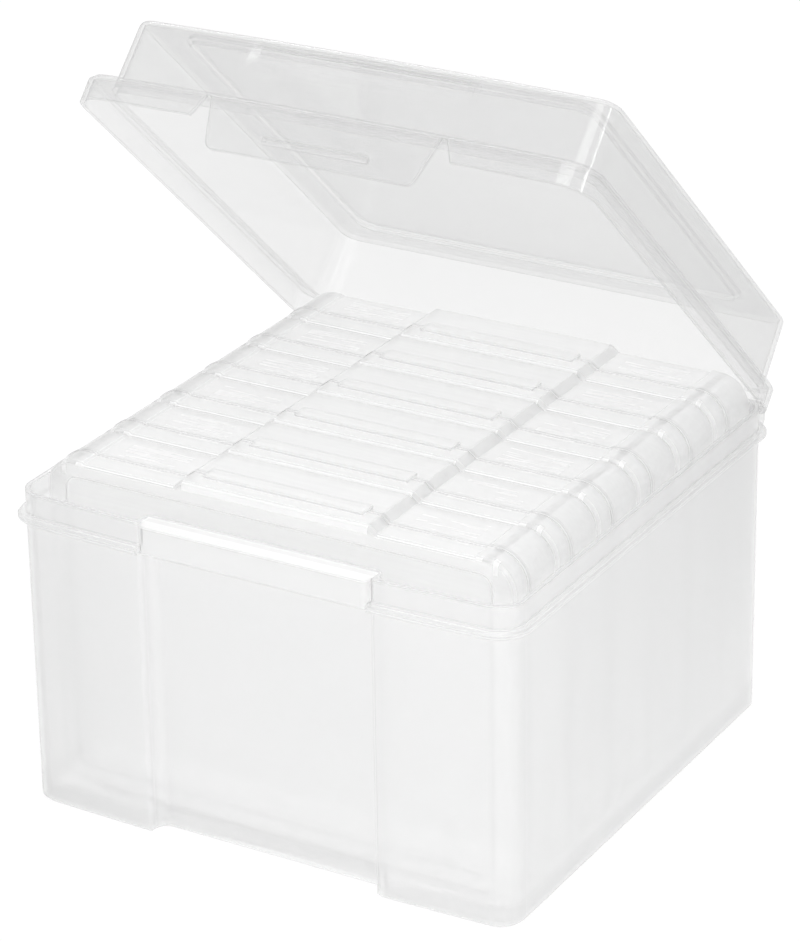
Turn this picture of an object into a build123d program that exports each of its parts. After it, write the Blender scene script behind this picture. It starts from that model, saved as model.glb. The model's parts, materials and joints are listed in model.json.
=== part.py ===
from build123d import *
from math import cos, pi
import os

# A photo keeper case: a tub with a hinged lid that holds slim photo cases on edge.
# Millimetres, +Z up, the front faces -Y. The origin is the centre of the tub's underside.
# The lid is stored part open, turned about the pins behind the tub's rim.

# ---- Photo cases ----
case_count = 6
case_width = 193.5
case_height = 132.5         # from its bottom to the shoulders of its top
case_body_depth = 20.8      # deep half
case_cover_depth = 9.8      # shallow half
case_spacing = 0.4          # free gap between neighbours in the tub
case_wall = 1.3
case_top_corner = 12.0
case_foot_corner = 3.5
case_edge = 1.2             # eased outer edges of both halves
label_start = 42.0          # label strip on each side of the top, from the centre
label_margin = 16.25        # plain stretch between a label strip and the case's end
label_drop = 0.7
label_ramp = 1.0
latch_half_width = 38.5     # raised middle of the top
latch_rise = 2.0
seam_flange_proud = 0.4     # rim round the body's mouth
seam_flange_depth = 1.6
locator_length = 2.0        # ribs of the cover that enter the body's mouth
locator_wall = 0.9
locator_clearance = 0.15
locator_share = 0.55        # of an end's height
panel_margin_top = 5.4      # raised panel on the cover's face
panel_margin_side = 8.6
panel_margin_bottom = 8.0
panel_corner = 5.0
panel_rise = 0.7
snap_half_width = 33.0      # tab of the cover that snaps over the body's top
snap_reach = 4.0            # over the body
snap_root = 3.0             # over the cover
snap_thickness = 0.8
snap_gap = 0.12             # under the tab
snap_ridge = 1.0            # ridge under the tab's free end, in a groove of the body
snap_hook = 0.6             # how deep the ridge enters it
snap_clearance = 0.15       # round the tab and its ridge
clasp_offset = 60.0         # centre of each hinge of the cover, from the middle
clasp_knuckle = 8.0
clasp_ear = 2.0
clasp_gap = 0.25
clasp_reach = 1.9
clasp_bar_radius = 1.0      # eight-sided bar that the cover's knuckle snaps on
clasp_clearance = 0.1
clasp_rise = 1.4            # the bar's height over the case's bottom

# ---- Tub ----
bin_wall = 1.8
rim_height = 126.3
side_room = 3.95            # beside the cases, at the rim
back_room = 1.8             # behind the last case
front_room = 5.2            # finger room before the first case
bin_corner = 10.0
bin_front_bow = 2.3         # the front wall bulges this much at its middle
bin_base_edge = 1.5
floor_thickness = 2.0
foot_height = 2.0           # rim of the underside that stands on the table
rest_gap = 0.2              # under each case
recess_half_width = 47.5    # sunk front panel
recess_depth = 4.8
recess_cove = 4.0
recess_corner = 2.0
apron_forward = 3.9         # the latch apron stands this far before the front wall
apron_height = 10.6
apron_wall = 1.8
apron_corner = 3.0
bead_reach = 3.0            # bead that the closed lid sits over
bead_height = 3.0
bead_below_rim = 8.4
bead_edge = 1.0

# ---- Hinge ----
hinge_behind_wall = 3.7     # axis, behind the tub's back wall
hinge_below_rim = 5.8
hinge_margin = 10.5         # centre of each hinge, in from the tub's side
knuckle_length = 6.4
knuckle_radius = 3.4
pin_radius = 1.8
pin_clearance = 0.05
pin_mouth = 2.9             # snap-in slot of the knuckle, narrower than the pin
ear_thickness = 2.4
ear_radius = 3.4
ear_drop = 12.0             # the ear's root runs this far down the wall
ear_gap = 0.3
photo_opening = 43.0        # the lid stands this far open, in degrees

# ---- Lid ----
lid_wall = 1.6
lid_side_clearance = 0.6    # skirt to collar, each side
lid_back_clearance = 1.4
lid_front_room = 4.1        # skirt to collar, room for the latch apron
lid_bead_gap = 0.3
lid_front_bow = 2.6
skirt_height = 10.0
skirt_corner = 13.0
ledge_side = 5.4
ledge_front = 11.0
ledge_edge = 1.5
lid_box_height = 28.2
lid_box_corner = 9.0
lid_box_draft = 1.4         # degrees
lid_edge = 2.6
plateau_margin_side = 15.0
plateau_margin_front = 12.0
plateau_margin_back = 16.0
plateau_rise = 1.8
plateau_corner = 8.0
stack_clearance = 1.0       # the tub's foot goes round the plateau of a lid below
scoop_half_width = 50.0     # finger scoop in the lid's front wall
scoop_bottom = 23.0         # above the skirt's lower edge
scoop_top = 35.0
scoop_ramp = 8.0
scoop_lip = 1.0
scoop_depth = 2.4
scoop_corner = 5.0

# ---- Latch tab of the lid ----
tab_root_half_width = 46.5
tab_end_half_width = 41.5
tab_length = 11.3           # below the skirt
tab_corner = 3.5
slot_height = 8.0           # slots beside the tab, up into the skirt
slot_top_width = 2.0
slot_bottom_width = 6.0
rib_half_width = 21.0       # rib inside the tab that catches under the apron
rib_height = 2.4
rib_drop = 0.4
rib_clearance = 0.35        # to the apron; the real rib reaches about 1 mm under it

# ---- Worked out from the sizes above ----
case_depth = case_cover_depth + case_body_depth
case_pitch = case_depth + case_spacing
stack_depth = case_count * case_pitch - case_spacing
half_width = case_width / 2 + side_room + bin_wall
half_depth = (recess_depth + front_room + stack_depth + back_room) / 2 + bin_wall
stack_front = half_depth - bin_wall - back_room - stack_depth
case_half = case_width / 2
label_end = case_half - label_margin
floor_top = foot_height + floor_thickness
case_bottom = floor_top + rest_gap + seam_flange_proud
case_shoulder = case_bottom + case_height
clasp_near = clasp_knuckle / 2 + clasp_gap
clasp_far = clasp_near + clasp_ear
bead_top = rim_height - bead_below_rim
apron_y = -half_depth - apron_forward
hinge_y = half_depth + hinge_behind_wall
hinge_z = rim_height - hinge_below_rim
hinge_offset = half_width - hinge_margin
bore_radius = pin_radius + pin_clearance
hinge_half_length = knuckle_length / 2 + ear_gap + ear_thickness
skirt_bottom = bead_top + lid_bead_gap
skirt_half = half_width + lid_side_clearance + lid_wall
skirt_front = -half_depth - lid_front_room - lid_wall
skirt_back = half_depth + lid_back_clearance + lid_wall
ledge_top = skirt_bottom + skirt_height
box_half = skirt_half - ledge_side
box_front = skirt_front + ledge_front
lid_top = ledge_top + lid_box_height


def upright(y):
    """The plane across the object at this depth, seen from the front."""
    return Plane.XZ.offset(-y)


def sideways(x):
    """The plane along the object at this distance from its middle."""
    return Plane.YZ.offset(x)


def bowed_plan(z, half, front, back, bow, corner):
    """Plan with straight sides and back, a front that bulges and four round corners."""
    with BuildSketch(Plane.XY.offset(z)) as plan:
        with BuildLine():
            Polyline((half, front), (half, back), (-half, back), (-half, front))
            ThreePointArc((-half, front), (0, front - bow), (half, front))
        make_face()
        fillet(plan.vertices(), corner)
    return plan.sketch


def tub_plan(z, inset=0.0):
    """Plan of the tub's wall at a height, or of its inside, with the sunk front panel."""
    side = recess_half_width + inset
    with BuildSketch(Plane.XY.offset(z)) as plan:
        add(bowed_plan(z, half_width - inset, -half_depth + inset, half_depth - inset,
                       bin_front_bow, bin_corner - inset))
        with Locations((0, -half_depth + recess_depth + inset)):
            Rectangle(2 * side, 2 * recess_depth + bin_front_bow,
                      align=(Align.CENTER, Align.MAX), mode=Mode.SUBTRACT)
        beside = plan.vertices().filter_by(lambda v: abs(abs(v.X) - side) < 0.01)
        fillet(beside.group_by(Axis.Y)[-1], recess_cove)
        beside = plan.vertices().filter_by(lambda v: abs(abs(v.X) - side) < 0.01)
        fillet(beside.group_by(Axis.Y)[0], recess_corner)
    return plan.sketch


def foot_plan(z, clearance):
    """The plateau of the lid or, with a clearance, the pocket that fits over it."""
    half = box_half - plateau_margin_side + clearance
    front = box_front + plateau_margin_front - clearance
    back = skirt_back - plateau_margin_back + clearance
    with BuildSketch(Plane.XY.offset(z)) as plan:
        with Locations((0, (front + back) / 2)):
            RectangleRounded(2 * half, back - front, plateau_corner + clearance)
    return plan.sketch


def hinge_bar(centre, radius, start, end):
    """A round bar on the hinge axis, between two distances from the hinge's centre."""
    with BuildSketch(sideways(centre + start)) as section:
        with Locations((hinge_y, hinge_z)):
            Circle(radius)
    with BuildPart() as bar:
        extrude(section.sketch, amount=end - start)
    return bar.part


def hinge_ear(centre, start):
    """One ear of the tub: a plate from the wall to the pin, round at its top."""
    root = half_depth - bin_wall - 0.5
    foot = hinge_z - ear_drop
    with BuildSketch(sideways(centre + start)) as side:
        with BuildLine():
            Polyline((root, hinge_z), (hinge_y + ear_radius, hinge_z),
                     (hinge_y + ear_radius, foot + ear_radius + hinge_behind_wall),
                     (half_depth, foot), (root, foot), close=True)
        make_face()
        with Locations((hinge_y, hinge_z)):
            Circle(ear_radius)
    with BuildPart() as ear:
        extrude(side.sketch, amount=ear_thickness)
    return ear.part


def bead():
    """The bead round the collar, open at the sunk panel and between the ears."""
    bottom = bead_top - bead_height
    with BuildPart() as ring:
        extrude(bowed_plan(bottom, half_width + bead_reach, -half_depth - bead_reach,
                           half_depth + bead_reach, bin_front_bow, bin_corner + bead_reach),
                amount=bead_height)
        chamfer(ring.faces().sort_by(Axis.Z)[-1].edges(), bead_edge)
        chamfer(ring.faces().sort_by(Axis.Z)[0].edges(), bead_edge)
        with Locations((0, -half_depth + recess_depth, bottom)):
            Box(2 * recess_half_width, half_depth, bead_height,
                align=(Align.CENTER, Align.MAX, Align.MIN), mode=Mode.SUBTRACT)
        with Locations(*[(side * hinge_offset, half_depth, bottom) for side in (-1, 1)]):
            Box(knuckle_length + 2 * ear_gap, 2 * bead_reach, bead_height,
                align=(Align.CENTER, Align.MIN, Align.MIN), mode=Mode.SUBTRACT)
    return ring.part


def apron():
    """The hood over the sunk panel: a shelf at the rim and the lip that the lid catches."""
    bottom = rim_height - apron_height
    inner = recess_half_width - apron_wall
    behind = -half_depth + recess_depth + bin_wall
    with BuildPart() as hood:
        with BuildSketch(Plane.XY.offset(bottom)) as plan:
            with Locations((0, behind)):
                Rectangle(2 * recess_half_width, behind - apron_y, align=(Align.CENTER, Align.MAX))
            fillet(plan.vertices().group_by(Axis.Y)[0], apron_corner)
        extrude(amount=apron_height)
        with BuildSketch(Plane.XY.offset(bottom)) as hollow:
            with Locations((0, behind)):
                Rectangle(2 * inner, behind - apron_y - apron_wall, align=(Align.CENTER, Align.MAX))
            fillet(hollow.vertices().group_by(Axis.Y)[0], apron_corner - apron_wall)
        extrude(amount=apron_height - apron_wall, mode=Mode.SUBTRACT)
    return hood.part


def build_bin():
    """The tub, with its collar, bead, sunk panel, apron and hinge ears with their pins."""
    with BuildPart() as outer_bin:
        extrude(tub_plan(0), amount=rim_height)
        chamfer(outer_bin.faces().sort_by(Axis.Z)[0].edges(), bin_base_edge)
        add(bead())
        add(apron())
        for side in (-1, 1):
            centre = side * hinge_offset
            add(hinge_ear(centre, -hinge_half_length))
            add(hinge_ear(centre, hinge_half_length - ear_thickness))
            add(hinge_bar(centre, pin_radius, -hinge_half_length, hinge_half_length))
        extrude(tub_plan(floor_thickness, bin_wall), amount=rim_height, mode=Mode.SUBTRACT)
        extrude(foot_plan(floor_thickness, stack_clearance + floor_thickness), amount=foot_height)
        extrude(foot_plan(0, stack_clearance), amount=foot_height, mode=Mode.SUBTRACT)
    return outer_bin.part


def scoop(inset):
    """The finger scoop's wedge, let into the lid's front wall."""
    face = box_front - lid_front_bow + inset
    low = skirt_bottom + scoop_bottom
    high = skirt_bottom + scoop_top
    with BuildSketch(upright(face - 1)) as mouth:
        with Locations((0, (low + high) / 2)):
            RectangleRounded(2 * (scoop_half_width + inset), high - low + 2 * inset, scoop_corner)
    with BuildSketch(upright(face + scoop_depth + lid_front_bow / 4)) as floor:
        with Locations((0, (low + scoop_ramp + high - scoop_lip) / 2)):
            RectangleRounded(2 * (scoop_half_width - scoop_ramp + inset),
                             high - scoop_lip - low - scoop_ramp + 2 * inset, 1.0)
    with BuildPart() as wedge:
        loft([mouth.sketch, floor.sketch])
    return wedge.part


def lid_form(inset=0.0):
    """The lid's outer form, or with an inset the form of its inside."""
    with BuildPart() as form:
        extrude(bowed_plan(skirt_bottom, skirt_half - inset, skirt_front + inset,
                           skirt_back - inset, lid_front_bow, skirt_corner - inset),
                amount=skirt_height - inset)
        if not inset:
            chamfer(form.faces().sort_by(Axis.Z)[-1].edges(), ledge_edge)
        extrude(bowed_plan(skirt_bottom, box_half - inset, box_front + inset,
                           skirt_back - inset, lid_front_bow, lid_box_corner - inset),
                amount=lid_top - skirt_bottom - inset, taper=lid_box_draft)
        if not inset:
            fillet(form.faces().sort_by(Axis.Z)[-1].edges(), lid_edge)
        extrude(foot_plan(lid_top - inset, -inset), amount=plateau_rise)
        add(scoop(inset), mode=Mode.SUBTRACT)
    return form.part


def latch_tab():
    """The tab that hangs from the front of the skirt, with the rib that catches the apron."""
    end = skirt_bottom - tab_length
    root = skirt_bottom + slot_height
    reach = skirt_front - 2 * lid_front_bow
    tab_middle = skirt_front - lid_front_bow + lid_wall / 2
    with BuildPart() as tab:
        extrude(bowed_plan(end, skirt_half, skirt_front, 0, lid_front_bow, skirt_corner),
                amount=root - end)
        extrude(bowed_plan(end, skirt_half - lid_wall, skirt_front + lid_wall, 0,
                           lid_front_bow, skirt_corner - lid_wall),
                amount=root - end, mode=Mode.SUBTRACT)
        with Locations((0, apron_y - rib_clearance, rim_height - apron_height - rib_drop)):
            Box(2 * rib_half_width, apron_y - rib_clearance - tab_middle, rib_height,
                align=(Align.CENTER, Align.MAX, Align.MAX))
        with BuildSketch(upright(reach)) as front_view:
            with BuildLine():
                Polyline((-tab_root_half_width, root), (-tab_end_half_width, end),
                         (tab_end_half_width, end), (tab_root_half_width, root), close=True)
            make_face()
            fillet(front_view.vertices().group_by(Axis.Y)[0], tab_corner)
        extrude(amount=reach, mode=Mode.INTERSECT)
    return tab.part


def tab_slots():
    """The two slots in the skirt that set the latch tab free."""
    top = skirt_bottom + slot_height
    with BuildSketch(upright(skirt_front + 2 * lid_wall)) as slots:
        for side in (-1, 1):
            with BuildLine():
                Polyline((side * (tab_root_half_width - 4), skirt_bottom - 1),
                         (side * (tab_root_half_width - 4), top),
                         (side * (tab_root_half_width + slot_top_width), top),
                         (side * (tab_root_half_width + slot_bottom_width), skirt_bottom),
                         (side * (tab_root_half_width + slot_bottom_width), skirt_bottom - 1),
                         close=True)
            make_face()
    with BuildPart() as cut:
        extrude(slots.sketch, amount=4 * lid_wall + lid_front_bow)
    return cut.part


def hinge_web(centre, half_length):
    """The stretch of the lid's skirt that carries a knuckle."""
    with BuildPart() as web:
        with Locations((centre, skirt_back, skirt_bottom)):
            Box(2 * half_length, lid_wall, skirt_height, align=(Align.CENTER, Align.MAX, Align.MIN))
    return web.part


def build_lid():
    """The lid, made closed and then turned open about the hinge axis."""
    near = knuckle_length / 2
    far = hinge_half_length + ear_gap
    notch_height = ear_radius + ear_gap
    notch_depth = notch_height + lid_back_clearance
    with BuildPart() as outer_lid:
        add(lid_form())
        add(lid_form(lid_wall), mode=Mode.SUBTRACT)
        add(tab_slots(), mode=Mode.SUBTRACT)
        add(latch_tab())
        for side in (-1, 1):
            centre = side * hinge_offset
            with Locations((centre, hinge_y, hinge_z)):
                Box(2 * far, 2 * notch_depth, 2 * notch_height, mode=Mode.SUBTRACT)
            add(hinge_web(centre, near))
            add(hinge_bar(centre, knuckle_radius, -near, near))
            add(hinge_bar(centre, bore_radius, -near, near), mode=Mode.SUBTRACT)
            with Locations((centre, hinge_y, hinge_z)):
                Box(knuckle_length, pin_mouth, knuckle_radius + lid_wall,
                    align=(Align.CENTER, Align.CENTER, Align.MAX), mode=Mode.SUBTRACT)
    return outer_lid.part.rotate(Axis((0, hinge_y, hinge_z), (1, 0, 0)), -photo_opening)


def case_outline(y, inset=0.0):
    """Front view of a case: a raised middle, a label strip on each side, round corners."""
    strip = case_shoulder - label_drop
    top = [(case_half, case_shoulder), (label_end + label_ramp, case_shoulder),
           (label_end, strip), (label_start, strip),
           (latch_half_width, case_shoulder + latch_rise)]
    left = [(-x, z) for x, z in top]
    with BuildSketch(upright(y)) as outline:
        with BuildLine():
            Polyline((case_half, case_bottom), *top, *reversed(left), (-case_half, case_bottom),
                     close=True)
        make_face()
        ends = outline.vertices().filter_by(lambda v: abs(abs(v.X) - case_half) < 0.01)
        fillet(ends.group_by(Axis.Y)[-1], case_top_corner)
        feet = outline.vertices().group_by(Axis.Y)[0]
        chamfer(feet, case_foot_corner)
        if inset:
            offset(amount=-inset, kind=Kind.INTERSECTION)
    return outline.sketch


def clasp_bar(seam, centre, flat_radius, length):
    """An eight-sided bar on the axis of a case's own hinge."""
    with BuildSketch(sideways(centre - length / 2)) as section:
        with Locations((seam, case_bottom + clasp_rise)):
            RegularPolygon(flat_radius, 8, major_radius=False, rotation=22.5)
    with BuildPart() as bar:
        extrude(section.sketch, amount=length)
    return bar.part


def clasp_lug(seam, centre, start, end, gap=0.0):
    """A lug of a case's own hinge or, with a gap, the room that the other half leaves for it."""
    reach = clasp_reach + gap
    bottom = case_bottom - seam_flange_proud
    with BuildPart() as lug:
        with Locations((centre + (start + end) / 2, seam, bottom)):
            Box(end - start + 2 * gap, 2 * reach, case_bottom + clasp_rise + reach - bottom,
                align=(Align.CENTER, Align.CENTER, Align.MIN))
    return lug.part


def snap_tab(seam):
    """The cover's tab over the body's top, with a ridge under its free end."""
    under = case_shoulder + latch_rise
    with BuildPart() as tab:
        with Locations((0, seam, under)):
            Box(2 * snap_half_width, snap_root, snap_gap + snap_thickness,
                align=(Align.CENTER, Align.MAX, Align.MIN))
        with Locations((0, seam, under + snap_gap)):
            Box(2 * snap_half_width, snap_reach, snap_thickness,
                align=(Align.CENTER, Align.MIN, Align.MIN))
        with Locations((0, seam + snap_reach, under + snap_gap)):
            Box(2 * snap_half_width, snap_ridge, snap_hook + snap_gap,
                align=(Align.CENTER, Align.MAX, Align.MAX))
    return tab.part


def snap_room(seam):
    """What the body leaves for the tab: a break in its rim and a groove for the ridge."""
    under = case_shoulder + latch_rise
    width = 2 * (snap_half_width + snap_clearance)
    with BuildPart() as room:
        with Locations((0, seam, under)):
            Box(width, seam_flange_depth, seam_flange_proud,
                align=(Align.CENTER, Align.MIN, Align.MIN))
        with Locations((0, seam + snap_reach + snap_clearance, under)):
            Box(width, snap_ridge + 2 * snap_clearance, snap_hook + snap_clearance,
                align=(Align.CENTER, Align.MAX, Align.MAX))
    return room.part


def panel_outline(y, inset=0.0):
    """The raised panel on the cover's face, or the pocket behind it."""
    low = case_bottom + panel_margin_bottom + inset
    high = case_shoulder - label_drop - panel_margin_top - inset
    with BuildSketch(upright(y)) as outline:
        with Locations((0, (low + high) / 2)):
            Rectangle(2 * (case_half - panel_margin_side - inset), high - low)
        if inset:
            chamfer(outline.vertices(), panel_corner - inset)
        else:
            fillet(outline.vertices(), panel_corner)
    return outline.sketch


def locator_section(y, outer):
    """Section of the ribs at both ends and along the bottom that line the halves up."""
    inner = case_wall + locator_clearance + locator_wall
    with BuildSketch(upright(y)) as section:
        with Locations((0, case_bottom + case_height / 2)):
            Rectangle(2 * (case_half - outer), locator_share * case_height)
            Rectangle(2 * (case_half - inner), case_height, mode=Mode.SUBTRACT)
        with Locations((0, case_bottom + outer)):
            Rectangle(2 * (clasp_offset - clasp_far - locator_wall), inner - outer,
                      align=(Align.CENTER, Align.MIN))
    return section.sketch


def build_case_body(front):
    """The deep half of a case: open at the seam, with a rim round its mouth."""
    seam = front + case_cover_depth
    with BuildPart() as case_body:
        extrude(case_outline(seam), amount=-case_body_depth)
        chamfer(case_body.faces().sort_by(Axis.Y)[-1].edges(), case_edge)
        extrude(case_outline(seam, -seam_flange_proud), amount=-seam_flange_depth)
        extrude(case_outline(seam, case_wall), amount=case_wall - case_body_depth,
                mode=Mode.SUBTRACT)
        add(snap_room(seam), mode=Mode.SUBTRACT)
        for centre in (-clasp_offset, clasp_offset):
            add(clasp_lug(seam, centre, -clasp_near, clasp_near), mode=Mode.SUBTRACT)
            add(clasp_lug(seam, centre, -clasp_far, -clasp_near))
            add(clasp_lug(seam, centre, clasp_near, clasp_far))
            add(clasp_bar(seam, centre, clasp_bar_radius * cos(pi / 8), 2 * clasp_near))
    return case_body.part


def build_case_cover(front):
    """The shallow half of a case, with the raised panel and the lip that enters the body."""
    seam = front + case_cover_depth
    face_depth = case_cover_depth - panel_rise
    with BuildPart() as case_cover:
        extrude(case_outline(seam), amount=face_depth)
        chamfer(case_cover.faces().sort_by(Axis.Y)[0].edges(), case_edge)
        extrude(panel_outline(seam), amount=case_cover_depth)
        extrude(case_outline(seam, case_wall), amount=face_depth - case_wall, mode=Mode.SUBTRACT)
        extrude(panel_outline(seam, case_wall), amount=case_cover_depth - case_wall,
                mode=Mode.SUBTRACT)
        extrude(locator_section(seam, case_wall), amount=locator_length)
        extrude(locator_section(seam, case_wall + locator_clearance), amount=-locator_length)
        add(snap_tab(seam))
        for centre in (-clasp_offset, clasp_offset):
            add(clasp_lug(seam, centre, -clasp_far, -clasp_near, clasp_gap), mode=Mode.SUBTRACT)
            add(clasp_lug(seam, centre, clasp_near, clasp_far, clasp_gap), mode=Mode.SUBTRACT)
            add(clasp_lug(seam, centre, -clasp_knuckle / 2, clasp_knuckle / 2))
            add(clasp_bar(seam, centre, clasp_bar_radius + clasp_clearance, clasp_knuckle),
                mode=Mode.SUBTRACT)
    return case_cover.part


def save(part, name):
    """Label a finished piece and write it."""
    part.label = name
    export_step(part, "parts/" + name + ".step")


os.makedirs("parts", exist_ok=True)
save(build_bin(), "outer_bin")
save(build_lid(), "outer_lid")
first_body = build_case_body(stack_front)
first_cover = build_case_cover(stack_front)
for number in range(1, case_count + 1):
    step_back = Location((0, (number - 1) * case_pitch, 0))
    save(first_body.moved(step_back), f"case_{number}_body")
    save(first_cover.moved(step_back), f"case_{number}_cover")
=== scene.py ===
"""Finishes the photo keeper case: clear plastic for its tub, lid and cases, marks and a stage."""
import json
from math import cos, radians, sin

import bmesh
import bpy
from bpy.props import FloatProperty, FloatVectorProperty, PointerProperty
from mathutils import Matrix, Vector

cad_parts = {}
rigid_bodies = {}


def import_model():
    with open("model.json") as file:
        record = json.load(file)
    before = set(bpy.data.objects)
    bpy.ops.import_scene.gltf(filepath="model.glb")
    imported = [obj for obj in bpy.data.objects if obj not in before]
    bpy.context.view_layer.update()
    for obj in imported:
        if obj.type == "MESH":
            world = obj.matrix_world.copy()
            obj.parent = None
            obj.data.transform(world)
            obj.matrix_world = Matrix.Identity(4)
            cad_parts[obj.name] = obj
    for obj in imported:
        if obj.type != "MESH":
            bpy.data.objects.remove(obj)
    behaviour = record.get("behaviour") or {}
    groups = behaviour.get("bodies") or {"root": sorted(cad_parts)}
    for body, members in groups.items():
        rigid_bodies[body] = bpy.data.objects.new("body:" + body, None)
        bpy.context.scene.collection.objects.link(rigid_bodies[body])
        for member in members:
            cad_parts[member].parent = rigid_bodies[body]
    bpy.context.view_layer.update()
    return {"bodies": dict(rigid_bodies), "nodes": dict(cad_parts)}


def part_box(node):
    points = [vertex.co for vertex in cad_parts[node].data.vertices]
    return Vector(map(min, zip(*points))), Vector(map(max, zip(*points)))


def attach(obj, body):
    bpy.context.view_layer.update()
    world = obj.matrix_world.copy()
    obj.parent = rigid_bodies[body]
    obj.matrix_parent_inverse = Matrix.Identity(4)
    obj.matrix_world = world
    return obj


bl_info = {
    "name": "Photo Keeper Case",
    "version": (1, 0, 0),
    "blender": (4, 5, 0),
    "location": "3D Viewport > Sidebar > Keeper",
    "description": "Clear plastic and a studio stage for a photo keeper with its inner cases",
    "category": "Object",
}

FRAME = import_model()
MM = 0.001
WHITE = (1, 1, 1, 1)
CASES = sorted(body for body in FRAME["bodies"] if body.startswith("case_"))

# Plastic
WALL_SOFTNESS = 0.8 * MM    # how far the bevel normal rounds the edges of the tub and lid
CASE_SOFTNESS = 0.7 * MM
RING_SOFTNESS = 0.2 * MM
RING_CLOUD = 0.8
RING_STEPS = 32             # round a ring, and round its section
SECTION_STEPS = 8
BEVEL_SAMPLES = 3
FACING_BLEND = 0.5
HAZE_SCALE = 11.0
HAZE_SWING = 0.1            # share of the cloudiness that the haze moves
SKIN_ROUGHNESS = 0.4
EDGE_POWER = 4.0            # how late the plastic turns milky as it is seen edge on
EDGE_SHARE = 0.5            # of the light that passes, stopped at a pale edge and at painted light
PAINTED_SHADE_SHARE = 0.3            # the same, at painted shade
PAINTED_SHADE_DEPTH = 0.8            # how far painted shade goes to its own colour
PAINTED_SHADE_COLOUR = (0.34, 0.34, 0.34, 1)
MIRROR_LEAST = 0.04
MIRROR_GAIN = 0.5
MIRROR_POWER = 5.0
SHADOW_LIGHTNESS = 0.85     # share of the plastic's own shadow that is left out

# Places on the tub, from its middle
# Painted shade on the tub's sides, front left and base band; painted light on the latch apron
SIDE_START, SIDE_END = 80.0 * MM, 100.0 * MM
# Painted shade on the tub's front, darker towards the left
FRONT_START, FRONT_END = -85.0 * MM, -95.0 * MM
LEFT_START, LEFT_END = -40.0 * MM, -100.0 * MM
LEFT_SHADE = 0.16
TUB_HEIGHT = 126.3 * MM
TUB_DEPTH = 201.0 * MM
# Painted shade on the tub's sides: darker up and towards the back, in vertical streaks
SIDE_SHADE_FRONT = 0.02
SIDE_SHADE_BACK = 0.3       # more than at the front
STREAK_STRETCH = (1.0, 1.0, 0.04)
STREAK_SCALE = 95.0
STREAK_LEAST = 0.2
STREAK_GAIN = 1.6
BAND_MIDDLE = 5.9 * MM      # painted shade: dark band over the base
BAND_HALF = 3.4 * MM
BAND_BLEND = 0.4 * MM
BAND_SHADE = 0.22
APRON_HALF = 47.6 * MM      # latch apron, painted lighter
APRON_FRONT = -99.0 * MM
APRON_FOOT = 115.5 * MM
APRON_PAINTED_LIGHT = 0.18
SHELF_BACK = -95.8 * MM     # the apron's top, with painted light from above
SHELF_LEVEL = 125.9 * MM
SHELF_PAINTED_LIGHT = 0.8

# Places on the cases, from the tub's middle
CASE_PITCH = 31.0 * MM
CASES_FRONT = -88.7 * MM
TOP_LEVEL = 135.6 * MM      # the tops of the cases lie over this
# Streaky noise for the cases' haze and for their painted reflections
PATTERN_STRETCH = (0.09, 1.0, 1.0)
PATTERN_SCALE = 620.0
STEP_PLACE = 40.3 * MM      # step between a case's raised middle and its label strips, with a painted dark reflection along it
STEP_HALF = 1.9 * MM
STEP_GAIN = 0.9
STEP_LOSS = 0.12
# Painted dark reflection where each case's top corner begins
CORNER_PLACE = 86.0 * MM
CORNER_HALF = 1.7 * MM
CORNER_GAIN = 1.1
CORNER_LOSS = 0.2
END_START, END_FULL = 87.0 * MM, 91.0 * MM      # painted shade: the cases' ends are darker
END_FOOT, END_HEAD = 122.0 * MM, 127.0 * MM
END_SHADE = 0.17
STRIP_START, STRIP_END = 48.0 * MM, 74.0 * MM   # painted reflections: pale streaks in the label strips
STRIP_MIDDLE = 0.55         # of the pitch
STRIP_SPREAD = 0.27
REFLECTION_LEVEL = 0.57
STRIP_PAINTED_REFLECTION = 0.5
LIP_SHARE = 0.045           # painted highlight along the front lip, as a share of the pitch
LIP_END = 84.0 * MM
GLINT_PLACE = 89.2 * MM     # painted highlight: bright spot at each case's front corner
GLINT_HALF = 0.9 * MM
GLINT_SHARE = 0.11          # of the pitch
GLINT_LEVEL = 131.5 * MM

# Stage
STAGE_REACH = 3.0           # metres from the middle to the floor's edge
STAGE_CENTRE = (0, 0, 0.1)
SENSOR_WIDTH = 36.0         # millimetres
VIEW_REACH = 20.0           # metres
CLEAR_BOUNCES = 64          # walls that a ray can pass
ALL_BOUNCES = 16
FLOOR_GLOW = 1.02
FLOOR_GLOW_SHARE = 0.92
ROOM_LEVEL = 0.63           # light from the horizon
ROOM_RISE = 0.17            # more than that from overhead
LAMPS = (                   # name, place, width and length in metres, watts
    ("key light", (0.4, -0.75, 0.45), (0.5, 0.5), 1.25),
    ("overhead light", (0.1, -0.4, 1.4), (0.8, 0.8), 3.2),
    ("side light", (1.4, -0.2, 0.8), (0.06, 0.9), 1.8),
    ("top light", (-0.7, 0.82, 1.2), (0.9, 0.12), 3),
)


# ---- Shader maths ----

class Wire:
    """An output socket that adds Math nodes when it is used in an expression."""

    def __init__(self, graph, socket):
        self.graph = graph
        self.socket = socket

    def _math(self, operation, *values):
        node = self.graph.add("ShaderNodeMath", {"operation": operation}, *values)
        return self.graph.wire(node)

    def __add__(self, other):
        return self._math("ADD", self, other)

    def __radd__(self, other):
        return self._math("ADD", other, self)

    def __sub__(self, other):
        return self._math("SUBTRACT", self, other)

    def __rsub__(self, other):
        return self._math("SUBTRACT", other, self)

    def __mul__(self, other):
        return self._math("MULTIPLY", self, other)

    def __rmul__(self, other):
        return self._math("MULTIPLY", other, self)

    def __pow__(self, other):
        return self._math("POWER", self, other)

    def __abs__(self):
        return self._math("ABSOLUTE", self)

    def __gt__(self, other):
        return self._math("GREATER_THAN", self, other)

    def __lt__(self, other):
        return self._math("LESS_THAN", self, other)


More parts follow.
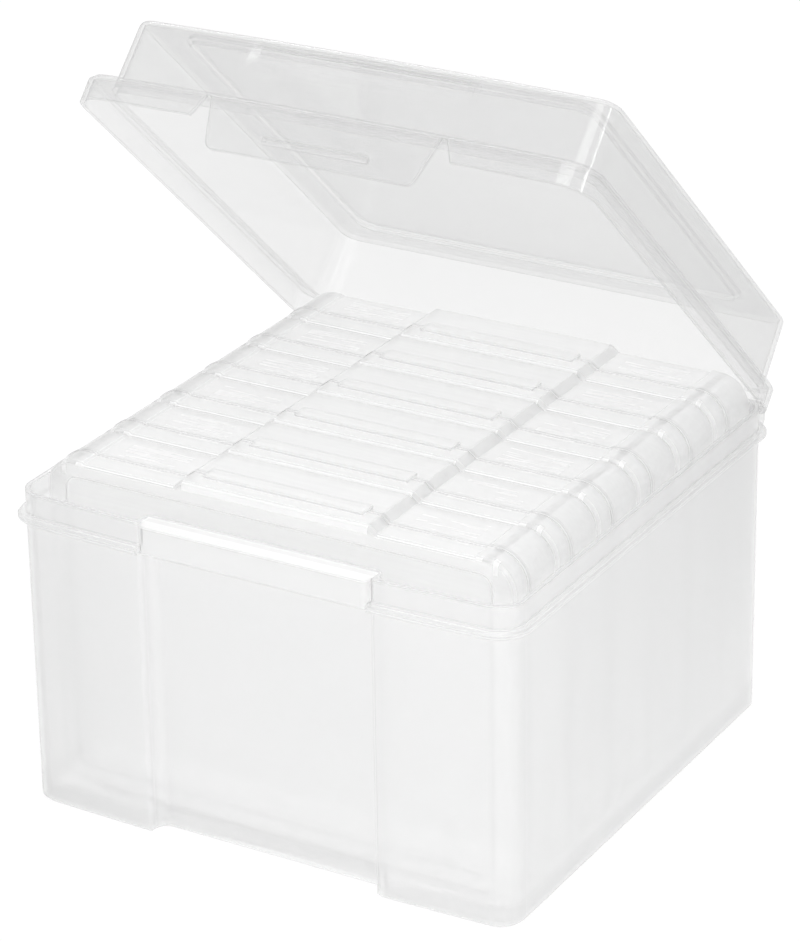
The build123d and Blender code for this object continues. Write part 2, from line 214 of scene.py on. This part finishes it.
class Graph:
    """Builds a node tree: every node is made by one method."""

    def __init__(self, tree):
        self.tree = tree
        tree.nodes.clear()

    def add(self, kind, settings=None, *values, **named):
        """A node with its settings first, then the values or links of its inputs."""
        node = self.tree.nodes.new(kind)
        for name, value in (settings or {}).items():
            setattr(node, name, value)
        inputs = list(enumerate(values)) + [(n.replace("_", " "), v) for n, v in named.items()]
        for key, value in inputs:
            self.feed(node.inputs[key], value)
        return node

    def feed(self, target, value):
        """Link a wire to an input, or set the input's own value."""
        if isinstance(value, Wire):
            self.tree.links.new(value.socket, target)
        else:
            target.default_value = value

    def wire(self, node, output=0):
        """One of a node's outputs, ready for use in an expression."""
        return Wire(self, node.outputs[output])

    def clamp(self, value):
        """The value, held between 0 and 1."""
        return self.wire(
            self.add("ShaderNodeMath", {"operation": "ADD", "use_clamp": True}, value, 0.0))

    def ramp(self, value, start, end):
        """0 up to the start, then rising to 1 at the end."""
        return self.clamp((value - start) * (1.0 / (end - start)))

    def blend(self, factor, first, second):
        """A colour between two colours."""
        node = self.add("ShaderNodeMix", {"data_type": "RGBA"})
        for key, value in ((0, factor), (6, first), (7, second)):
            self.feed(node.inputs[key], value)
        return self.wire(node, 2)

    def noise(self, place, scale):
        """A soft random pattern between 0 and 1."""
        node = self.add("ShaderNodeTexNoise", None, place, Scale=scale, Detail=1.0)
        return self.wire(node, "Fac")

    def stretch(self, place, scale):
        """The place, scaled by its axes so that a pattern on it is drawn out."""
        return self.wire(self.add("ShaderNodeMapping", None, place, Scale=scale))

    def axes(self, place):
        """The place's three coordinates."""
        node = self.add("ShaderNodeSeparateXYZ", None, place)
        return [self.wire(node, axis) for axis in "XYZ"]


# ---- What a user can change ----

class KeeperPlastic(bpy.types.PropertyGroup):
    """Look of the clear plastic."""

    tub_tint: FloatVectorProperty(
        name="Tub tint", description="Colour of the tub's plastic where it is cloudy",
        subtype="COLOR", size=3, min=0, max=1, default=(0.84, 0.84, 0.84))
    lid_tint: FloatVectorProperty(
        name="Lid tint", description="Colour of the lid's plastic where it is cloudy",
        subtype="COLOR", size=3, min=0, max=1, default=(0.58, 0.58, 0.58))
    case_tint: FloatVectorProperty(
        name="Case tint", description="Colour of the cases' plastic where it is cloudy",
        subtype="COLOR", size=3, min=0, max=1, default=(0.95, 0.95, 0.95))
    tub_cloud: FloatProperty(
        name="Tub cloudiness",
        description="Share of light that the tub's wall stops, seen square on",
        subtype="FACTOR", min=0, max=1, default=0.30)
    lid_cloud: FloatProperty(
        name="Lid cloudiness",
        description="Share of light that the lid's wall stops, seen square on",
        subtype="FACTOR", min=0, max=1, default=0.14)
    case_cloud: FloatProperty(
        name="Case cloudiness",
        description="Share of light that a case's wall stops, seen square on",
        subtype="FACTOR", min=0, max=1, default=0.34)
    edge_cloud: FloatProperty(
        name="Edge cloudiness", description="Share of light stopped where a wall is seen edge on",
        subtype="FACTOR", min=0, max=1, default=0.75)
    # The whitened edges are partly milky plastic and partly a painted highlight
    edge_gain: FloatProperty(
        name="Edge gain", description="How strongly the plastic whitens along its edges",
        min=0, max=20, default=4.0)
    roughness: FloatProperty(
        name="Roughness", description="Roughness of the moulded surface",
        subtype="FACTOR", min=0, max=1, default=0.10)


class KeeperMarks(bpy.types.PropertyGroup):
    """Sizes of the round moulding marks at the back of each case."""

    radius: FloatProperty(
        name="Radius", description="Radius of a mark", unit="LENGTH", default=2.1 * MM)
    thickness: FloatProperty(
        name="Thickness", description="Radius of the ring's section, half of which stands out",
        unit="LENGTH", default=0.33 * MM)
    inset: FloatProperty(
        name="Inset", description="From the case's end to the mark's centre",
        unit="LENGTH", default=14.9 * MM)
    drop: FloatProperty(
        name="Drop", description="From the top of the case to the mark's centre",
        unit="LENGTH", default=11.0 * MM)


class KeeperStage(bpy.types.PropertyGroup):
    """Camera of the product picture."""

    turn: FloatProperty(
        name="Turn", description="Camera's angle round the keeper, from straight in front",
        subtype="ANGLE", default=radians(30.58))
    rise: FloatProperty(
        name="Rise", description="Camera's angle over the table",
        subtype="ANGLE", default=radians(24.53))
    roll: FloatProperty(
        name="Roll", description="Camera's turn about its own axis",
        subtype="ANGLE", default=radians(-0.91))
    distance: FloatProperty(
        name="Distance", description="From the camera to the point that it looks at",
        unit="LENGTH", default=1.4806)
    aim: FloatVectorProperty(
        name="Aim", description="Point that the camera looks at",
        subtype="XYZ", unit="LENGTH", default=(0.00009, 0.0, 0.11632))
    lens: FloatProperty(
        name="Lens", description="Focal length in millimetres", default=152.9)


# ---- Plastic ----

def plain_marks(graph, place):
    """The lid and the rings: a slow haze, with no marks."""
    return graph.noise(place, HAZE_SCALE), 0.0, 0.0


def tub_marks(graph, place):
    """The tub: painted shade up and back along its sides, on its front left and in a band over
    its base, with painted light on the latch apron.
    """
    streak = graph.noise(graph.stretch(place, STREAK_STRETCH), STREAK_SCALE)
    x, y, z = graph.axes(place)
    back = (y + TUB_DEPTH * 0.5) * (1.0 / TUB_DEPTH)
    up = z * (1.0 / TUB_HEIGHT)
    # Painted shade: the sides darken up and towards the back, in streaks
    side = graph.ramp(abs(x), SIDE_START, SIDE_END) * up
    side *= (back * SIDE_SHADE_BACK + SIDE_SHADE_FRONT) * (streak * STREAK_GAIN + STREAK_LEAST)
    # Painted shade on the front, darker towards the left
    front = graph.ramp(y, FRONT_START, FRONT_END)
    left = graph.ramp(x, LEFT_START, LEFT_END) * front * LEFT_SHADE
    # Painted shade: a dark band over the base
    band = graph.ramp(abs(z - BAND_MIDDLE), BAND_HALF, BAND_HALF - BAND_BLEND) * BAND_SHADE
    # Painted light on the latch apron and its top
    middle = abs(x) < APRON_HALF
    hood_light = middle * (y < APRON_FRONT) * (z > APRON_FOOT) * APRON_PAINTED_LIGHT
    shelf_light = middle * (y < SHELF_BACK) * (z > SHELF_LEVEL) * SHELF_PAINTED_LIGHT
    haze = graph.noise(place, HAZE_SCALE)
    return haze, graph.clamp(side + left + band), graph.clamp(hood_light + shelf_light)


def case_marks(graph, place):
    """A case: painted dark reflections at its steps and corners, painted shade on its ends,
    painted highlights on the lip and corner, and painted reflections on its labels.
    """
    haze_and_reflections = graph.noise(graph.stretch(place, PATTERN_STRETCH), PATTERN_SCALE)
    x, y, z = graph.axes(place)
    x = abs(x)
    top = z > TOP_LEVEL
    cases = (y - CASES_FRONT) * (1.0 / CASE_PITCH)
    depth = graph.wire(graph.add("ShaderNodeMath", {"operation": "FRACT"}, cases))
    # Painted dark reflections along the steps and at the top corners
    step = abs(x - STEP_PLACE) < STEP_HALF
    corner = abs(x - CORNER_PLACE) < CORNER_HALF
    # Painted shade on the cases' ends
    end = graph.ramp(x, END_START, END_FULL) * graph.ramp(z, END_FOOT, END_HEAD)
    marks = step * (haze_and_reflections * STEP_GAIN - STEP_LOSS) + corner * (haze_and_reflections * CORNER_GAIN - CORNER_LOSS)
    painted_shade = graph.clamp(marks * top + end * END_SHADE)
    # Painted reflections: pale streaks on the label strips
    strip = (x > STRIP_START) * (x < STRIP_END) * (abs(depth - STRIP_MIDDLE) < STRIP_SPREAD)
    reflection_lines = strip * (haze_and_reflections > REFLECTION_LEVEL) * STRIP_PAINTED_REFLECTION
    # Painted highlight along each case's front lip
    lip_highlight = (depth < LIP_SHARE) * (x < LIP_END)
    # Painted highlight: a glint at each case's front corner
    glint = (abs(x - GLINT_PLACE) < GLINT_HALF) * (depth < GLINT_SHARE) * (z > GLINT_LEVEL)
    painted_light = graph.clamp((reflection_lines + lip_highlight) * top * (1.0 - step) + glint)
    return haze_and_reflections, painted_shade, painted_light


def plastic(name, settings, tint, cloud, softness, marks):
    """Clear moulded plastic: see-through square on, milky edge on, with a gloss of its own."""
    material = bpy.data.materials.new(name)
    material.use_nodes = True
    graph = Graph(material.node_tree)
    place = graph.wire(graph.add("ShaderNodeTexCoord"), "Object")
    # The marks give the haze, the painted shade and the painted light
    haze, painted_shade, painted_light = marks(graph, place)
    soft = graph.wire(graph.add("ShaderNodeBevel", {"samples": BEVEL_SAMPLES}, Radius=softness))
    true = graph.wire(graph.add("ShaderNodeNewGeometry"), "Normal")
    agree = graph.add("ShaderNodeVectorMath", {"operation": "DOT_PRODUCT"}, soft, true)
    # Edges whiten as milky plastic, and the white lines also stand in for painted highlights;
    # painted light from the marks adds to them
    edge_and_painted_light = graph.clamp((1.0 - abs(graph.wire(agree, "Value"))) * settings.edge_gain + painted_light)
    facing = graph.wire(graph.add("ShaderNodeLayerWeight", None, Blend=FACING_BLEND), "Facing")
    shade = graph.wire(graph.add("ShaderNodeLightPath"), "Is Shadow Ray")

    wall = cloud * (haze * HAZE_SWING + (1.0 - HAZE_SWING * 0.5))
    veil = wall + (settings.edge_cloud - cloud) * facing ** EDGE_POWER
    cover = veil + (1.0 - veil) * (edge_and_painted_light * EDGE_SHARE + painted_shade * PAINTED_SHADE_SHARE)
    alpha = cover * (1.0 - shade * SHADOW_LIGHTNESS)
    colour = graph.blend(edge_and_painted_light, (*tint, 1), WHITE)
    if isinstance(painted_shade, Wire):
        colour = graph.blend(painted_shade * PAINTED_SHADE_DEPTH, colour, PAINTED_SHADE_COLOUR)
    skin = graph.add("ShaderNodeBsdfPrincipled", None, Base_Color=colour,
                     Roughness=SKIN_ROUGHNESS, Alpha=alpha, Normal=soft)
    gloss = graph.add("ShaderNodeBsdfGlossy", None, Color=WHITE,
                      Roughness=settings.roughness, Normal=soft)
    mirror = (MIRROR_LEAST + facing ** MIRROR_POWER * MIRROR_GAIN) * (1.0 - shade)
    both = graph.add("ShaderNodeMixShader", None, mirror, graph.wire(skin), graph.wire(gloss))
    graph.add("ShaderNodeOutputMaterial", None, graph.wire(both))
    return material


def dress(node, material):
    """Give a CAD node its material."""
    slots = FRAME["nodes"][node].data.materials
    slots.clear()
    slots.append(material)


class KEEPER_OT_tub(bpy.types.Operator):
    """Finish the tub"""

    bl_idname = "keeper.tub"
    bl_label = "Finish tub"

    def execute(self, context):
        settings = context.scene.keeper_plastic
        look = (settings.tub_tint, settings.tub_cloud, WALL_SOFTNESS, tub_marks)
        dress("outer_bin", plastic("tub plastic", settings, *look))
        return {"FINISHED"}


class KEEPER_OT_lid(bpy.types.Operator):
    """Finish the lid"""

    bl_idname = "keeper.lid"
    bl_label = "Finish lid"

    def execute(self, context):
        settings = context.scene.keeper_plastic
        look = (settings.lid_tint, settings.lid_cloud, WALL_SOFTNESS, plain_marks)
        dress("outer_lid", plastic("lid plastic", settings, *look))
        return {"FINISHED"}


class KEEPER_OT_cases(bpy.types.Operator):
    """Finish the inner cases"""

    bl_idname = "keeper.cases"
    bl_label = "Finish cases"

    def execute(self, context):
        settings = context.scene.keeper_plastic
        look = (settings.case_tint, settings.case_cloud, CASE_SOFTNESS, case_marks)
        for half, name in (("_body", "case plastic"), ("_cover", "cover plastic")):
            material = plastic(name, settings, *look)
            for case in CASES:
                dress(case + half, material)
                FRAME["nodes"][case + half].visible_shadow = False
        return {"FINISHED"}


# ---- Moulding marks ----

def ring_tree():
    """Geometry nodes for one case's pair of marks: thin rings, half sunk in its back."""
    tree = bpy.data.node_groups.new("moulding marks", "GeometryNodeTree")
    for name in ("Radius", "Thickness", "Half spread", "Depth", "Height"):
        tree.interface.new_socket(name, in_out="INPUT", socket_type="NodeSocketFloat")
    tree.interface.new_socket("Finish", in_out="INPUT", socket_type="NodeSocketMaterial")
    tree.interface.new_socket("Geometry", in_out="OUTPUT", socket_type="NodeSocketGeometry")
    graph = Graph(tree)
    node = graph.add("NodeGroupInput")
    given = {socket.name: graph.wire(node, socket.name) for socket in node.outputs if socket.name}

    def link(kind, **inputs):
        return graph.wire(graph.add(kind, None, **inputs))

    path = link("GeometryNodeCurvePrimitiveCircle", Resolution=RING_STEPS, Radius=given["Radius"])
    section = link("GeometryNodeCurvePrimitiveCircle", Resolution=SECTION_STEPS,
                   Radius=given["Thickness"])
    ring = link("GeometryNodeCurveToMesh", Curve=path, Profile_Curve=section)
    upright = link("GeometryNodeTransform", Geometry=ring, Rotation=(radians(90), 0, 0))
    half = given["Half spread"]
    start = link("ShaderNodeCombineXYZ", X=half * -1.0, Y=given["Depth"], Z=given["Height"])
    stride = link("ShaderNodeCombineXYZ", X=half * 2.0)
    pair = link("GeometryNodeMeshLine", Count=2, Start_Location=start, Offset=stride)
    placed = link("GeometryNodeInstanceOnPoints", Points=pair, Instance=upright)
    real = link("GeometryNodeRealizeInstances", Geometry=placed)
    coated = link("GeometryNodeSetMaterial", Geometry=real, Material=given["Finish"])
    graph.add("NodeGroupOutput", None, coated)
    return tree


def turn_outwards(mesh):
    """Make every face of a closed mesh point outwards."""
    solid = bmesh.new()
    solid.from_mesh(mesh)
    bmesh.ops.recalc_face_normals(solid, faces=solid.faces)
    solid.to_mesh(mesh)
    solid.free()


def add_object(name, data):
    """A new object in the scene."""
    made = bpy.data.objects.new(name, data)
    bpy.context.scene.collection.objects.link(made)
    return made


class KEEPER_OT_marks(bpy.types.Operator):
    """Add the round moulding marks at the back of every case"""

    bl_idname = "keeper.marks"
    bl_label = "Add moulding marks"

    def execute(self, context):
        settings = context.scene.keeper_plastic
        sizes = context.scene.keeper_marks
        finish = plastic("mark plastic", settings, settings.case_tint, RING_CLOUD,
                         RING_SOFTNESS, plain_marks)
        tree = ring_tree()
        for case in CASES:
            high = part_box(case + "_body")[1]
            holder = add_object(case + "_marks", bpy.data.meshes.new(case + "_marks"))
            modifier = holder.modifiers.new("marks", "NODES")
            modifier.node_group = tree
            values = {"Radius": sizes.radius, "Thickness": sizes.thickness,
                      "Half spread": high[0] - sizes.inset, "Depth": high[1],
                      "Height": high[2] - sizes.drop, "Finish": finish}
            for socket in tree.interface.items_tree:
                if socket.in_out == "INPUT":
                    modifier[socket.identifier] = values[socket.name]
            evaluated = holder.evaluated_get(context.evaluated_depsgraph_get())
            mesh = bpy.data.meshes.new_from_object(evaluated)
            holder.modifiers.clear()
            holder.data = mesh
            turn_outwards(mesh)
            holder.visible_shadow = False
            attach(holder, case)
        return {"FINISHED"}


# ---- Stage ----

def white_floor():
    """A floor that the camera sees as white paper, with only a trace of shadow."""
    material = bpy.data.materials.new("white floor")
    material.use_nodes = True
    graph = Graph(material.node_tree)
    seen = graph.wire(graph.add("ShaderNodeLightPath"), "Is Camera Ray")
    paper = graph.wire(graph.add("ShaderNodeBsdfDiffuse", None, Color=WHITE))
    glow = graph.wire(graph.add("ShaderNodeEmission", None, Color=WHITE, Strength=FLOOR_GLOW))
    mix = graph.add("ShaderNodeMixShader", None, seen * FLOOR_GLOW_SHARE, paper, glow)
    graph.add("ShaderNodeOutputMaterial", None, graph.wire(mix))
    return material


def white_world():
    """Even white surroundings for the camera, and a softer light on the object."""
    world = bpy.data.worlds.new("white room")
    bpy.context.scene.world = world
    world.use_nodes = True
    graph = Graph(world.node_tree)
    seen = graph.wire(graph.add("ShaderNodeLightPath"), "Is Camera Ray")
    height = graph.axes(graph.wire(graph.add("ShaderNodeTexCoord"), "Generated"))[2]
    room = height * ROOM_RISE + ROOM_LEVEL
    strength = room + seen * (1.0 - room)
    background = graph.add("ShaderNodeBackground", None, Color=WHITE, Strength=strength)
    graph.add("ShaderNodeOutputWorld", None, graph.wire(background))


def add_floor():
    """A square floor round the keeper."""
    reach = STAGE_REACH
    mesh = bpy.data.meshes.new("floor")
    corners = [(-reach, -reach, 0), (reach, -reach, 0), (reach, reach, 0), (-reach, reach, 0)]
    mesh.from_pydata(corners, [], [(0, 1, 2, 3)])
    floor = add_object("floor", mesh)
    mesh.materials.append(white_floor())


def add_lamp(name, place, size, power):
    """A rectangular studio light that faces the keeper."""
    light = bpy.data.lights.new(name, "AREA")
    light.shape = "RECTANGLE"
    light.size, light.size_y = size
    light.energy = power
    lamp = add_object(name, light)
    lamp.location = place
    towards = Vector(STAGE_CENTRE) - Vector(place)
    lamp.rotation_euler = towards.to_track_quat("-Z", "Y").to_euler()


def add_camera(stage):
    """The photograph's camera, from its angles."""
    back = Vector((sin(stage.turn) * cos(stage.rise), -cos(stage.turn) * cos(stage.rise),
                   sin(stage.rise)))
    right = Vector((cos(stage.turn), sin(stage.turn), 0))
    up = back.cross(right)
    turned_right = right * cos(stage.roll) + up * sin(stage.roll)
    turned_up = up * cos(stage.roll) - right * sin(stage.roll)
    camera = add_object("camera", bpy.data.cameras.new("camera"))
    axes = Matrix((turned_right, turned_up, back)).transposed().to_4x4()
    camera.matrix_world = Matrix.Translation(Vector(stage.aim) + back * stage.distance) @ axes
    camera.data.lens = stage.lens
    camera.data.sensor_width = SENSOR_WIDTH
    camera.data.clip_end = VIEW_REACH
    bpy.context.scene.camera = camera


class KEEPER_OT_stage(bpy.types.Operator):
    """Set up the floor, the lights and the camera"""

    bl_idname = "keeper.stage"
    bl_label = "Set up stage"

    def execute(self, context):
        scene = context.scene
        scene.view_settings.view_transform = "Standard"
        scene.cycles.transparent_max_bounces = CLEAR_BOUNCES
        scene.cycles.max_bounces = ALL_BOUNCES
        white_world()
        add_floor()
        for lamp in LAMPS:
            add_lamp(*lamp)
        add_camera(scene.keeper_stage)
        return {"FINISHED"}


# ---- Add-on ----

class KEEPER_PT_panel(bpy.types.Panel):
    """The keeper's steps, in order"""

    bl_idname = "KEEPER_PT_panel"
    bl_label = "Photo Keeper"
    bl_space_type = "VIEW_3D"
    bl_region_type = "UI"
    bl_category = "Keeper"

    def draw(self, context):
        for step in OPERATORS:
            self.layout.operator(step.bl_idname)


GROUPS = (KeeperPlastic, KeeperMarks, KeeperStage)
OPERATORS = (KEEPER_OT_tub, KEEPER_OT_lid, KEEPER_OT_cases, KEEPER_OT_marks, KEEPER_OT_stage)


def register():
    for item in (*GROUPS, *OPERATORS, KEEPER_PT_panel):
        bpy.utils.register_class(item)
    bpy.types.Scene.keeper_plastic = PointerProperty(type=KeeperPlastic)
    bpy.types.Scene.keeper_marks = PointerProperty(type=KeeperMarks)
    bpy.types.Scene.keeper_stage = PointerProperty(type=KeeperStage)


def unregister():
    del bpy.types.Scene.keeper_stage
    del bpy.types.Scene.keeper_marks
    del bpy.types.Scene.keeper_plastic
    for item in reversed((*GROUPS, *OPERATORS, KEEPER_PT_panel)):
        bpy.utils.unregister_class(item)


def main():
    """Register the add-on and run its steps."""
    register()
    for step in OPERATORS:
        group, name = step.bl_idname.split(".")
        getattr(getattr(bpy.ops, group), name)()


if __name__ == "__main__":
    main()
